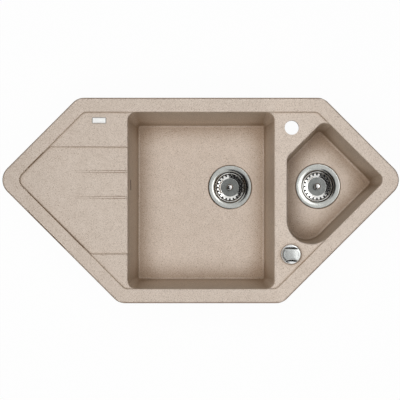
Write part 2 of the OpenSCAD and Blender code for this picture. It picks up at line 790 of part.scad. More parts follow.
module control_sleeve() {
    plate = 5;
    color(plastic) at_control() difference() {
        translate([0, 0, sleeve_low]) cylinder(h = gasket_z - sleeve_low, r = sleeve_r_out);
        translate([0, 0, sleeve_low - cut]) cylinder(h = gasket_z - sleeve_low - plate + cut,
            r = sleeve_r_out - sleeve_wall);
        translate([0, 0, gasket_z - plate - cut]) cylinder(h = plate + 2 * cut,
            r = spindle_r + run_gap);
    }
}
module control_washer() {
    color(rubber) at_control() translate([0, 0, under_z - 1.5]) rotate_extrude()
        translate([sleeve_r_out + 0.1, 0]) square([nut_r - sleeve_r_out - 1, 1.5]);
}
module control_nut() {
    nut_h = 9;
    color(dark_plastic) at_control() translate([0, 0, under_z - 1.5 - nut_h]) difference() {
        union() {
            cylinder(h = nut_h, r = sleeve_r_out + 4);
            translate([0, 0, nut_h - 2]) cylinder(h = 2, r = nut_r - 1);
            for (i = [0:5]) rotate([0, 0, 60 * i]) translate([sleeve_r_out + 2, -1.5, 0])
                cube([nut_r - sleeve_r_out - 2.5, 3, nut_h]);
        }
        translate([0, 0, -cut]) cylinder(h = nut_h + 2 * cut, r = sleeve_r_out + run_gap);
    }
}
module control_housing() {
    socket = 8;
    color(plastic) at_control() difference() {
        union() {
            translate([0, 0, housing_low]) cylinder(h = sleeve_low + socket - housing_low,
                r = housing_r);
            translate([0, 1 - housing_r, wheel_z + wheel_t / 2]) rotate([90, 0, 0])
                cylinder(h = 15, r = 6);
        }
        translate([0, 0, sleeve_low]) cylinder(h = socket + cut, r = sleeve_r_out + run_gap);
        translate([0, 0, housing_low + 3]) cylinder(h = sleeve_low - housing_low - 3 + cut,
            r = sleeve_r_out - sleeve_wall);
        translate([0, 0, housing_low + 1.5 - rest_gap]) cylinder(h = 4,
            r = spindle_r + run_gap);
        translate([0, 0, wheel_z + wheel_t / 2]) rotate([90, 0, 0])
            cylinder(h = housing_r + 20, r = 1.5);
    }
}

// Overflow: gasket, elbow, rigid pipe, and a nut with a cone ring at each end
gasket_x = pad_x - 2;
elbow_x = gasket_x - 17;
elbow_low = slot_z - elbow_drop;
elbow_r = pipe_r + 4;
pipe_z = main_floor + inlet_z;
pipe_end = main_waste_x - inlet_out + 14;
module overflow_gasket() {
    color(rubber) difference() {
        translate([gasket_x, waste_y - pad_size[0] / 2 + 1, slot_z - pad_size[1] / 2 + 1])
            cube([2, pad_size[0] - 2, pad_size[1] - 2]);
        overflow_slot(gasket_x - cut, pad_x + cut);
        overflow_screw_holes();
    }
}
module overflow_screw_holes() {
    for (s = [-1, 1]) translate([gasket_x - 10, waste_y + s * overflow_screw_y, slot_z])
        rotate([0, 90, 0]) cylinder(h = 20, r = screw_r + 0.3);
}
module overflow_elbow() {
    duct = [slot_len + 5, slot_h + 5];
    color(plastic) difference() {
        union() {
            translate([gasket_x - 4, waste_y - pad_size[0] / 2, slot_z - pad_size[1] / 2])
                cube([4, pad_size[0], pad_size[1]]);
            translate([elbow_x, waste_y - duct[0] / 2, slot_z - duct[1] / 2])
                cube([gasket_x - elbow_x - 2, duct[0], duct[1]]);
            translate([elbow_x, waste_y, elbow_low])
                cylinder(h = slot_z + duct[1] / 2 + 6 - elbow_low, r = elbow_r);
        }
        overflow_slot(elbow_x - 3, gasket_x + cut);
        translate([elbow_x, waste_y, elbow_low - cut])
            cylinder(h = slot_z + duct[1] / 2 + 3 - elbow_low + cut, r = pipe_r + 0.1);
        overflow_screw_holes();
    }
}
module overflow_screws() {
    color(steel) for (s = [-1, 1]) translate([gasket_x - 4, waste_y + s * overflow_screw_y, slot_z])
        rotate([0, 90, 0]) {
            translate([0, 0, -2.5]) cylinder(h = 2.5, r = screw_r * 2);
            cylinder(h = 12, r = screw_r);
        }
}
module overflow_pipe() {
    top = elbow_low + 14;
    color(plastic) {
        translate([elbow_x, waste_y, pipe_z + bend_r]) tube(top - pipe_z - bend_r);
        translate([elbow_x + bend_r, waste_y, pipe_z + bend_r]) rotate([90, 0, 0])
            rotate([0, 0, 180]) rotate_extrude(angle = 90) translate([bend_r, 0]) difference() {
                circle(pipe_r);
                circle(pipe_r - pipe_wall);
            }
        translate([elbow_x + bend_r, waste_y, pipe_z]) rotate([0, 90, 0])
            tube(pipe_end - elbow_x - bend_r);
    }
}
module tube(length) {
    difference() {
        cylinder(h = length, r = pipe_r);
        translate([0, 0, -cut]) cylinder(h = length + 2 * cut, r = pipe_r - pipe_wall);
    }
}
// A nut from the open end of its socket, with the socket's mouth at 0
module at_sockets() {
    translate([elbow_x, waste_y, elbow_low]) children();
    translate([main_waste_x - inlet_out, waste_y, pipe_z]) rotate([0, 90, 0]) children();
}
seal_len = 4;
module pipe_nut() {
    grip = 14;
    lip = 3;
    translate([0, 0, -seal_len - lip]) difference() {
        cylinder(h = grip + seal_len + lip, r = thread_r + 4);
        translate([0, 0, -cut]) cylinder(h = lip + 2 * cut, r = pipe_r + 0.4);
        translate([0, 0, lip]) cylinder(h = grip + seal_len + cut, r = thread_r + run_gap);
        for (i = [0:11]) rotate([0, 0, 30 * i]) translate([thread_r + 4, 0, -cut])
            cylinder(h = grip + seal_len + lip + 2 * cut, r = 1.5);
    }
}
module overflow_nuts() {
    color(dark_plastic) at_sockets() pipe_nut();
}
module overflow_seals() {
    color(rubber) at_sockets() translate([0, 0, -seal_len]) rotate_extrude()
        polygon([[pipe_r, 0], [thread_r - 0.3, 0], [thread_r - 0.3, seal_len - 1],
            [pipe_r + 1.5, seal_len], [pipe_r, seal_len]]);
}

module main_waste_cup() {
    color(steel) at_main() waste_cup();
}
module main_flange_seal() {
    color(rubber) at_main() flange_seal();
}
module main_body_gasket() {
    color(rubber) at_main() body_gasket();
}
module main_sleeve_screw() {
    color(brass) at_main() clamp_screw(pin_r + run_gap);
}
module main_lift_pin() {
    color(steel) at_main() lift_pin();
}
module main_basket() {
    color(steel) at_main() basket();
}
module main_basket_knob() {
    color(chrome) at_main() basket_knob();
}
module main_plug_seal() {
    color(rubber) at_main() plug_seal();
}
module main_stem_nut() {
    color(brass) at_main() stem_nut();
}
module half_waste_cup() {
    color(steel) at_half() waste_cup();
}
module half_flange_seal() {
    color(rubber) at_half() flange_seal();
}
module half_body_gasket() {
    color(rubber) at_half() body_gasket();
}
module half_clamp_screw() {
    color(steel) at_half() clamp_screw(0);
}
module half_basket() {
    color(steel) at_half() basket();
}
module half_basket_knob() {
    color(chrome) at_half() basket_knob();
}
module half_plug_seal() {
    color(rubber) at_half() plug_seal();
}
module half_stem_nut() {
    color(brass) at_half() stem_nut();
}

sink_body();
rim_seal();
fixing_clips();
fixing_screws();
main_waste_cup();
main_flange_seal();
main_body_gasket();
main_waste_body();
main_sleeve_screw();
main_lift_pin();
main_basket();
main_basket_knob();
main_plug_seal();
main_stem_nut();
lift_lever();
lift_axle();
lift_crank();
half_waste_cup();
half_flange_seal();
half_body_gasket();
half_waste_body();
half_clamp_screw();
half_basket();
half_basket_knob();
half_plug_seal();
half_stem_nut();
control_knob();
control_spindle();
cable_wheel();
control_escutcheon();
control_gasket();
control_sleeve();
control_washer();
control_nut();
control_housing();
overflow_gasket();
overflow_elbow();
overflow_screws();
overflow_pipe();
overflow_nuts();
overflow_seals();
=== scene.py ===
import bpy
import bmesh
import math
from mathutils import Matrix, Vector


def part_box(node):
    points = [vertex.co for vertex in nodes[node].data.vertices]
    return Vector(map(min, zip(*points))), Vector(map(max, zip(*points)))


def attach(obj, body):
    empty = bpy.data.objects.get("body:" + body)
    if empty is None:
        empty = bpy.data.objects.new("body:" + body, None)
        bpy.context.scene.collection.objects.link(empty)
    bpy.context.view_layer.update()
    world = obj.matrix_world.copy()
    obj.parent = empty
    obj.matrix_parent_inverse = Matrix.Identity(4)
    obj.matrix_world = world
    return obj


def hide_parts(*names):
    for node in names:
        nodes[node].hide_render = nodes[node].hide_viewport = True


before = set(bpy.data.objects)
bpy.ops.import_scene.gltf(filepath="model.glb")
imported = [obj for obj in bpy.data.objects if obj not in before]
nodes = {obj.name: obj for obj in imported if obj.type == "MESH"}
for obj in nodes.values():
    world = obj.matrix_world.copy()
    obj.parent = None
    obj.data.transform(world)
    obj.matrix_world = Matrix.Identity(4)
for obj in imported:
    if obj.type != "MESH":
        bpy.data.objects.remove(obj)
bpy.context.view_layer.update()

mm = 0.001
scene = bpy.context.scene
print("frame loaded:", len(nodes), "nodes")


# Helpers for node trees, of materials and of Geometry Nodes alike

def addNode(tree, kind, inputs=None, **settings):
    # an input gets a link when it is given a socket, and its own value otherwise
    node = tree.nodes.new(kind)
    for name, value in settings.items():
        setattr(node, name, value)
    for key, value in (inputs or {}).items():
        if isinstance(value, bpy.types.NodeSocket):
            tree.links.new(value, node.inputs[key])
        else:
            node.inputs[key].default_value = value
    return node


def mathOf(tree, operation, first, second=0.0):
    return addNode(tree, "ShaderNodeMath", {0: first, 1: second}, operation=operation).outputs[0]


def insideOf(tree, tests):
    # 1 where all the tests hold
    share = 1.0
    for operation, value, limit in tests:
        share = mathOf(tree, "MULTIPLY", share, mathOf(tree, operation, value, limit))
    return share


def axesOf(tree, vector):
    return addNode(tree, "ShaderNodeSeparateXYZ", {0: vector}).outputs


def vectorOf(tree, x=0.0, y=0.0, z=0.0):
    return addNode(tree, "ShaderNodeCombineXYZ", {0: x, 1: y, 2: z}).outputs[0]


def rangeOf(tree, source, low, high):
    # low where source is 0, high where it is 1
    return addNode(tree, "ShaderNodeMapRange", {
        "Value": source, "To Min": low, "To Max": high}).outputs["Result"]


def shareOf(tree, source, first, last):
    # 0 where source is first, 1 where it is last
    return addNode(tree, "ShaderNodeMapRange", {
        "Value": source, "From Min": first, "From Max": last}).outputs["Result"]


# Helpers for materials. Each finish reads Object coordinates, in metres.

white = (1, 1, 1, 1)


def tint(red, green, blue):
    # a colour of 0 to 255, as it shows on a screen
    def linear(v):
        v = v / 255
        return v / 12.92 if v <= 0.04045 else ((v + 0.055) / 1.055) ** 2.4
    return (linear(red), linear(green), linear(blue), 1)


def newFinish(name):
    finish = bpy.data.materials.new(name)
    finish.use_nodes = True
    tree = finish.node_tree
    place = addNode(tree, "ShaderNodeTexCoord").outputs["Object"]
    return finish, tree, tree.nodes["Principled BSDF"], place


def noiseOf(tree, place, scale, detail=2.0, roughness=0.5):
    return addNode(tree, "ShaderNodeTexNoise", {
        "Vector": place, "Scale": scale, "Detail": detail, "Roughness": roughness}).outputs["Fac"]


def rampOf(tree, source, stops):
    ramp = addNode(tree, "ShaderNodeValToRGB", {"Fac": source})
    elements = ramp.color_ramp.elements
    while len(elements) < len(stops):
        elements.new(0.5)
    for element, (at, colour) in zip(elements, stops):
        element.position = at
        element.color = colour
    return ramp.outputs["Color"]


def tintRamp(tree, source, stops):
    return rampOf(tree, source, [(at, tint(*colour)) for at, colour in stops])


def mottled(tree, noise, dark, light):
    return tintRamp(tree, noise, [(0.3, dark), (0.7, light)])


def blendOf(tree, kind, amount, first, second):
    return addNode(tree, "ShaderNodeMix", {0: amount, 6: first, 7: second},
                   data_type="RGBA", blend_type=kind).outputs[2]


def shadedBy(tree, tone, shade, share=1.0):
    return blendOf(tree, "MULTIPLY", share, tone, shade)


def paintedShade(tree, tone, reach, deepest, closedAt, openAt, share=1.0):
    # painted shade where a surface is closed in
    closed = addNode(tree, "ShaderNodeAmbientOcclusion", {"Distance": reach}, samples=8)
    stops = [(closedAt, (*deepest, 1)), (openAt, white)]
    return shadedBy(tree, tone, rampOf(tree, closed.outputs["AO"], stops), share)


def dress(tree, shader, tone, grain, roughness, depth, softEdge):
    # colour, gloss and fine bumps, and edges that catch the light as if they were rounded
    inputs = {"Height": grain, "Distance": depth}
    if softEdge:
        edge = addNode(tree, "ShaderNodeBevel", {"Radius": softEdge}, samples=8)
        inputs["Normal"] = edge.outputs["Normal"]
    bump = addNode(tree, "ShaderNodeBump", inputs)
    tree.links.new(tone, shader.inputs["Base Color"])
    tree.links.new(rangeOf(tree, grain, *roughness), shader.inputs["Roughness"])
    tree.links.new(bump.outputs["Normal"], shader.inputs["Normal"])


# Stone of the sink: its speckle, and the painted light and shade that follow the moulded shape. A
# noise is given by its scale, detail and roughness here, and in the looks below.
stoneLook = {
    "grain": (800, 3, 0.65), "grainTurn": (0.61, 0.43, 0.2), "grainDepth": 0.06 * mm,
    "grains": [(0.28, (154, 141, 130)), (0.45, (211, 197, 184)), (0.58, (211, 197, 184)),
               (0.74, (250, 239, 228))],
    "fleck": (550, 2, 0.6),
    "flecks": [(0.34, (190, 181, 172)), (0.44, (248, 248, 248)), (0.7, (255, 255, 255))],
    "cloud": (40, 2), "clouds": [(249, 248, 247), (255, 255, 255)],
    "softEdge": 0.9 * mm, "roughness": (0.42, 0.6), "specular": 0.35,
    # painted light and shade on the top along x, in mm, darkest at the left end and lightest near x =
    # 190, and the heights between which it sets in
    "along": [(-470, 0.92), (-330, 0.98), (-150, 1.0), (150, 1.02), (190, 1.09), (300, 1.05)],
    "alongEnd": 500, "topZ": (-40 * mm, -5 * mm),
    # painted shade in the steps and lines of the top
    "creviceReach": 4 * mm, "creviceTone": (0.3, 0.25, 0.2), "creviceRange": (0.5, 0.96),
    "creviceAbove": -30 * mm,
    # shade in both bowls, and more of it in the half bowl
    "bowlReach": 66 * mm, "bowlTone": (0.59, 0.51, 0.43), "bowlRange": (0.48, 0.93),
    "halfReach": 60 * mm, "halfTone": (0.74, 0.72, 0.7), "halfRange": (0.45, 0.95),
    "halfFrom": 190 * mm, "halfZ": (-15 * mm, -75 * mm),
    # painted shade at the outer edge of the border, whose outline has two straight sides, and two tips
    # with a round
    "tipX": 499.1 * mm, "tipY": 50 * mm, "halfDepth": 250 * mm, "tipCentre": 442.5 * mm,
    "tipRadius": 40 * mm, "rim": 3.2 * mm, "rimTone": (0.4, 0.33, 0.27), "rimRange": (0.3, 0.8),
    # where the drainer's ribs are, and between which slopes their sides lie
    "ribX": (-420 * mm, -184 * mm), "ribY": 117 * mm, "ribFacing": (0.3, 0.96),
    "ribTone": (0.44, 0.36, 0.28),
    # overflow slot: painted shade in its mouth and a painted highlight on the lip under it
    "slotX": -166 * mm, "slotY": 40 * mm, "slotLong": 26 * mm, "slotZ": (-66 * mm, -44 * mm),
    "slotTone": (0.1, 0.08, 0.06), "mouthStops": (0.3, 0.37, 0.78, 0.92),
    "lipPaintedHighlight": (0.36, 0.28, 0.22), "lipStops": (0.02, 0.12, 0.28, 0.36),
    # painted warm shade on upright faces, by how level they are
    "sidePaintedWarmShade": (1.0, 0.96, 0.88), "sideRange": (0.25, 0.7),
}


def paintedRimShade(tree, tone, axes, look):
    # painted shade: the outer edge of the border is a little darker; past is how far a point is
    # outside the outline, and less than nothing inside it
    farX = mathOf(tree, "ABSOLUTE", axes[0])
    across = mathOf(tree, "ABSOLUTE", mathOf(tree, "SUBTRACT", axes[1], look["tipY"]))
    sides = mathOf(tree, "SUBTRACT", mathOf(tree, "ABSOLUTE", axes[1]), look["halfDepth"])
    ends = mathOf(tree, "SUBTRACT", mathOf(tree, "ADD", farX, across), look["tipX"])
    past = mathOf(tree, "MAXIMUM", sides, mathOf(tree, "DIVIDE", ends, 2 ** 0.5))
    along = mathOf(tree, "SUBTRACT", farX, look["tipCentre"])
    square = mathOf(tree, "ADD", mathOf(tree, "MULTIPLY", along, along),
                    mathOf(tree, "MULTIPLY", across, across))
    tip = mathOf(tree, "SUBTRACT", mathOf(tree, "SQRT", square), look["tipRadius"])
    # the round counts only at the tip itself, where along is more than across
    elsewhere = mathOf(tree, "SUBTRACT", 1.0, mathOf(tree, "GREATER_THAN", along, across))
    past = mathOf(tree, "MAXIMUM", past, mathOf(tree, "SUBTRACT", tip, elsewhere))
    share = mathOf(tree, "ADD", mathOf(tree, "DIVIDE", past, 2 * look["rim"]), 1.0)
    inner, outer = look["rimRange"]
    return shadedBy(tree, tone, rampOf(tree, share, [(inner, white), (outer, (*look["rimTone"], 1))]))


def paintedRibShade(tree, tone, axes, upward, look):
    # painted shade on the sloped sides of the drainer's ribs
    sloped = insideOf(tree, [
        ("GREATER_THAN", axes[0], look["ribX"][0]), ("LESS_THAN", axes[0], look["ribX"][1]),
        ("LESS_THAN", mathOf(tree, "ABSOLUTE", axes[1]), look["ribY"]),
        ("GREATER_THAN", upward, look["ribFacing"][0]),
        ("LESS_THAN", upward, look["ribFacing"][1])])
    return shadedBy(tree, tone, rampOf(tree, sloped, [(0, white), (1, (*look["ribTone"], 1))]))


def paintedSlotShade(tree, tone, axes, look):
    # painted shade in the mouth of the overflow slot, and a painted highlight on the lip under it
    away = mathOf(tree, "ABSOLUTE", mathOf(tree, "SUBTRACT", axes[1], look["slotY"]))
    inside = insideOf(tree, [("LESS_THAN", away, look["slotLong"] / 2),
                             ("LESS_THAN", axes[0], look["slotX"])])
    height = shareOf(tree, axes[2], *look["slotZ"])
    dark, lip, none = (*look["slotTone"], 1), (*look["lipPaintedHighlight"], 1), (0, 0, 0, 1)
    mouth = rampOf(tree, height, list(zip(look["mouthStops"], (white, dark, dark, white))))
    paintedLipLight = rampOf(tree, height, list(zip(look["lipStops"], (none, lip, lip, none))))
    shaded = blendOf(tree, "ADD", 1.0, shadedBy(tree, tone, mouth), paintedLipLight)
    return blendOf(tree, "MIX", inside, tone, shaded)


def paintedSideShade(tree, tone, upward, look):
    # painted warm shade: upright faces are a little warmer and darker
    upright, level = look["sideRange"]
    return shadedBy(tree, tone, rampOf(tree, mathOf(tree, "ABSOLUTE", upward), [
        (upright, (*look["sidePaintedWarmShade"], 1)), (level, white)]))


def stoneFinish(look):
    finish, tree, shader, place = newFinish("speckledStone")
    axes = axesOf(tree, place)
    upward = axesOf(tree, addNode(tree, "ShaderNodeNewGeometry").outputs["True Normal"])[2]
    # turned, so that no level face lies along the noise's own grid
    tilted = addNode(tree, "ShaderNodeMapping", {
        "Vector": place, "Rotation": look["grainTurn"]}).outputs[0]
    grain = noiseOf(tree, tilted, *look["grain"])
    fleck = noiseOf(tree, tilted, *look["fleck"])
    cloud = noiseOf(tree, place, *look["cloud"])
    tone = shadedBy(tree, tintRamp(tree, grain, look["grains"]), tintRamp(tree, fleck, look["flecks"]))
    tone = shadedBy(tree, tone, mottled(tree, cloud, *look["clouds"]))
    # painted light and shade along x, on the top only
    end = look["alongEnd"]
    along = rampOf(tree, shareOf(tree, axes[0], -end * mm, end * mm),
                   [((x + end) / (2 * end), (v, v, v, 1)) for x, v in look["along"]])
    tone = shadedBy(tree, tone, along, shareOf(tree, axes[2], *look["topZ"]))
    # painted shade in the steps and lines of the top, in both bowls, and more in the half bowl
    onTop = mathOf(tree, "GREATER_THAN", axes[2], look["creviceAbove"])
    tone = paintedShade(tree, tone, look["creviceReach"], look["creviceTone"], *look["creviceRange"], onTop)
    tone = paintedShade(tree, tone, look["bowlReach"], look["bowlTone"], *look["bowlRange"])
    inHalf = mathOf(tree, "MULTIPLY", shareOf(tree, axes[2], *look["halfZ"]),
                    mathOf(tree, "GREATER_THAN", axes[0], look["halfFrom"]))
    tone = paintedShade(tree, tone, look["halfReach"], look["halfTone"], *look["halfRange"], inHalf)
    # painted shade at the border's outer edge and on the sloped sides of the ribs
    tone = paintedRibShade(tree, paintedRimShade(tree, tone, axes, look), axes, upward, look)
    # painted warm shade on upright faces, painted shade in the overflow slot's mouth and a painted
    # highlight on its lip
    tone = paintedSlotShade(tree, paintedSideShade(tree, tone, upward, look), axes, look)
    shader.inputs["Specular IOR Level"].default_value = look["specular"]
    dress(tree, shader, tone, grain, look["roughness"], look["grainDepth"], look["softEdge"])
    return finish


# Turned and pressed steel: fine rings round the waste's axis, a little uneven in tone, and painted
# shade where it is closed in
steelLook = {
    "rings": 420, "waver": 3.0, "detail": 2.0, "ringDepth": 0.004 * mm, "softEdge": 0.3 * mm,
    "wear": (90, 3), "worn": 12, "closed": 0.35, "open": 0.85,
}


def steelFinish(name, centre, colour=(184, 185, 181), roughness=(0.14, 0.24), deepest=0.45,
                reach=5 * mm, look=steelLook):
    finish, tree, shader, place = newFinish(name)
    centred = addNode(tree, "ShaderNodeMapping", {
        "Vector": place, "Location": [-c for c in centre]}).outputs[0]
    rings = addNode(tree, "ShaderNodeTexWave", {
        "Vector": centred, "Scale": look["rings"], "Distortion": look["waver"],
        "Detail": look["detail"]}, wave_type="RINGS", rings_direction="Z").outputs["Fac"]
    darker = [c - look["worn"] for c in colour]
    tone = mottled(tree, noiseOf(tree, place, *look["wear"]), darker, colour)
    # painted shade where the steel is closed in
    tone = paintedShade(tree, tone, reach, (deepest,) * 3, look["closed"], look["open"])
    shader.inputs["Metallic"].default_value = 1.0
    dress(tree, shader, tone, rings, roughness, look["ringDepth"], look["softEdge"])
    return finish


# Chrome: a faint haze, and painted shade, near black, where two pieces meet
chromeLook = {
    "haze": (60, 3), "hazeDepth": 0.01 * mm, "softEdge": 0.4 * mm, "lineReach": 8 * mm,
    "line": 0.01, "closed": 0.76, "open": 0.88,
}


def chromeFinish(name, dark, light, roughness=(0.06, 0.14), look=chromeLook):
    finish, tree, shader, place = newFinish(name)
    haze = noiseOf(tree, place, *look["haze"])
    # painted shade, near black, where two pieces meet
    tone = paintedShade(tree, mottled(tree, haze, dark, light), look["lineReach"],
                   (look["line"],) * 3, look["closed"], look["open"])
    shader.inputs["Metallic"].default_value = 1.0
    dress(tree, shader, tone, haze, roughness, look["hazeDepth"], look["softEdge"])
    return finish


def matteFinish(name, dark, light, roughness, grain, depth, softEdge=0.5 * mm):
    # rubber, plastic and cloth: a fine grain, and one 14 times as broad for the tone
    finish, tree, shader, place = newFinish(name)
    fine = noiseOf(tree, place, grain, 3)
    broad = noiseOf(tree, place, grain / 14, 2)
    dress(tree, shader, mottled(tree, broad, dark, light), fine, roughness, depth, softEdge)
    return finish


# Brass, with the fine lines of turning
brassLook = {
    "lines": (160, 2), "stretch": (1, 1, 14), "dark": (188, 152, 86),
    "light": (212, 180, 112), "roughness": (0.22, 0.4), "lineDepth": 0.01 * mm,
    "softEdge": 0.3 * mm,
}


def brassFinish(look):
    finish, tree, shader, place = newFinish("turnedBrass")
    level = addNode(tree, "ShaderNodeMapping", {"Vector": place, "Scale": look["stretch"]})
    lines = noiseOf(tree, level.outputs[0], *look["lines"])
    tone = mottled(tree, lines, look["dark"], look["light"])
    shader.inputs["Metallic"].default_value = 1.0
    dress(tree, shader, tone, lines, look["roughness"], look["lineDepth"], look["softEdge"])
    return finish


mainWaste = (76.5 * mm, 40 * mm, -182 * mm)
halfWaste = (300 * mm, 40 * mm, -122 * mm)
# the basket's steel painted lighter for its highlights, and its flat middle, the same steel, painted
# darker for the dark reflection it shows
paintedLightRingSteel = {"colour": (232, 232, 229), "roughness": (0.1, 0.18), "deepest": 0.5, "reach": 2 * mm}
paintedDarkDiscSteel = {"colour": (126, 128, 126), "roughness": (0.26, 0.36), "deepest": 0.5}
stone = stoneFinish(stoneLook)
mainSteel = steelFinish("mainWasteSteel", mainWaste)
halfSteel = steelFinish("halfWasteSteel", halfWaste)
mainRing = steelFinish("mainRingPaintedLight", mainWaste, **paintedLightRingSteel)
halfRing = steelFinish("halfRingPaintedLight", halfWaste, **paintedLightRingSteel)
mainDisc = steelFinish("mainDiscPaintedDark", mainWaste, **paintedDarkDiscSteel)
halfDisc = steelFinish("halfDiscPaintedDark", halfWaste, **paintedDarkDiscSteel)
plainSteel = steelFinish("fixingSteel", (0, 0, 0), (178, 180, 182), (0.3, 0.45), 0.5)
chrome = chromeFinish("polishedChrome", (226, 228, 228), (240, 241, 241))
# the pull knobs' chrome, painted darker for the dark reflections it shows
knobChrome = chromeFinish("knobChromePaintedDark", (196, 196, 196), (208, 208, 208), (0.08, 0.14))
satinChrome = chromeFinish("satinChrome", (176, 178, 176), (190, 192, 190), (0.22, 0.3))
rubber = matteFinish("blackRubber", (26, 26, 27), (40, 40, 41), (0.62, 0.82), 900, 0.05 * mm)
plastic = matteFinish("whitePlastic", (218, 218, 214), (232, 232, 228), (0.38, 0.52), 700, 0.02 * mm)
darkPlastic = matteFinish("darkPlastic", (58, 58, 62), (74, 74, 78), (0.4, 0.56), 700, 0.03 * mm)
brass = brassFinish(brassLook)

finishes = {
    "sink_body": stone, "rim_seal": rubber, "fixing_clips": darkPlastic,
    "fixing_screws": plainSteel, "main_waste_cup": mainSteel, "main_flange_seal": rubber,
    "main_body_gasket": rubber, "main_waste_body": plastic, "main_sleeve_screw": brass,
    "main_lift_pin": plainSteel, "main_basket": mainSteel, "main_basket_knob": chrome,
    "main_plug_seal": rubber, "main_stem_nut": brass, "lift_lever": plastic,
    "lift_axle": plainSteel, "lift_crank": darkPlastic, "half_waste_cup": halfSteel,
    "half_flange_seal": rubber, "half_body_gasket": rubber, "half_waste_body": plastic,
    "half_clamp_screw": plainSteel, "half_basket": halfSteel, "half_basket_knob": chrome,
    "half_plug_seal": rubber, "half_stem_nut": brass, "control_knob": chrome,
    "control_spindle": plainSteel, "cable_wheel": plastic, "control_escutcheon": chrome,
    "control_gasket": rubber, "control_sleeve": plastic, "control_washer": rubber,
    "control_nut": darkPlastic, "control_housing": plastic, "overflow_gasket": rubber,
    "overflow_elbow": plastic, "overflow_screws": plainSteel, "overflow_pipe": plastic,
    "overflow_nuts": darkPlastic, "overflow_seals": rubber,
}
for name, node in nodes.items():
    node.data.materials.clear()
    node.data.materials.append(finishes[name])
print("finishes on", len(finishes), "nodes")


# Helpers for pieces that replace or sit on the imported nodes. Their sizes are in mm.

def placed(points, place):
    return [(x * mm + place[0], y * mm + place[1], z * mm + place[2]) for x, y, z in points]


def keepPiece(name, mesh, body, nodeName=None):
    mesh.validate()
    piece = bpy.data.objects.new(name, mesh)
    scene.collection.objects.link(piece)
    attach(piece, body)
    if nodeName:
        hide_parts(nodeName)


def finishMesh(mesh, looks, creaseDegrees=38):
    work = bmesh.new()
    work.from_mesh(mesh)
    bmesh.ops.remove_doubles(work, verts=work.verts, dist=1e-7)
    bmesh.ops.recalc_face_normals(work, faces=work.faces)
    work.to_mesh(mesh)
    work.free()
    mesh.shade_smooth()
    mesh.set_sharp_from_angle(angle=math.radians(creaseDegrees))
    for look in looks:
        mesh.materials.append(look)
    return mesh


def turned(name, profile, place, look, steps=96):
    # a closed profile of (radius, height), turned about the upright axis at place
    points, rings, faces = [], [], []
    for radius, height in profile:
        if radius == 0:
            rings.append([len(points)])
            points.append((0, 0, height))
            continue
        rings.append(list(range(len(points), len(points) + steps)))
        for k in range(steps):
            turn = 2 * math.pi * k / steps
            points.append((radius * math.cos(turn), radius * math.sin(turn), height))
    for lower, upper in zip(rings, rings[1:] + rings[:1]):
        if len(lower) == 1 and len(upper) == 1:
            continue
        for k in range(steps):
            n = (k + 1) % steps
            if len(lower) == 1:
                faces.append((lower[0], upper[n], upper[k]))
            elif len(upper) == 1:
                faces.append((lower[k], lower[n], upper[0]))
            else:
                faces.append((lower[k], lower[n], upper[n], upper[k]))
    mesh = bpy.data.meshes.new(name)
    mesh.from_pydata(placed(points, place), [], faces)
    return finishMesh(mesh, [look])


def arcOf(centre, radius, first, last, steps):
    turns = [math.radians(first + (last - first) * k / steps) for k in range(steps + 1)]
    return [(centre[0] + radius * math.cos(turn), centre[1] + radius * math.sin(turn))
            for turn in turns]


def sideFaces(count, levels):
    # the faces between rings of count points that stand on each other
    faces = []
    for k in range(levels - 1):
        for i in range(count):
            n = (i + 1) % count
            faces.append((k * count + i, k * count + n, (k + 1) * count + n, (k + 1) * count + i))
    return faces


# Helpers for Geometry Nodes

def newTree(name, sockets):
    tree = bpy.data.node_groups.new(name, "GeometryNodeTree")
    tree.interface.new_socket("Geometry", in_out="INPUT", socket_type="NodeSocketGeometry")
    keys = {}
    for label, kind in sockets:
        socket = tree.interface.new_socket(label, in_out="INPUT", socket_type=kind)
        keys[label] = socket.identifier
    tree.interface.new_socket("Geometry", in_out="OUTPUT", socket_type="NodeSocketGeometry")
    return tree, keys


def endTree(tree, shape, look):
    real = addNode(tree, "GeometryNodeRealizeInstances", {0: shape})
    coat = addNode(tree, "GeometryNodeSetMaterial", {"Geometry": real.outputs[0], "Material": look})
    addNode(tree, "NodeGroupOutput", {0: coat.outputs[0]})


def runTree(name, mesh, tree, keys, values):
    # the modifier's result as a plain mesh
    holder = bpy.data.objects.new(name + "Source", mesh)
    scene.collection.objects.link(holder)
    modifier = holder.modifiers.new("repeat", "NODES")
    modifier.node_group = tree
    for label, value in values.items():
        modifier[keys[label]] = value
    bpy.context.view_layer.update()
    shaped = holder.evaluated_get(bpy.context.evaluated_depsgraph_get())
    result = bpy.data.meshes.new_from_object(shaped)
    result.name = name
    bpy.data.objects.remove(holder)
    return result


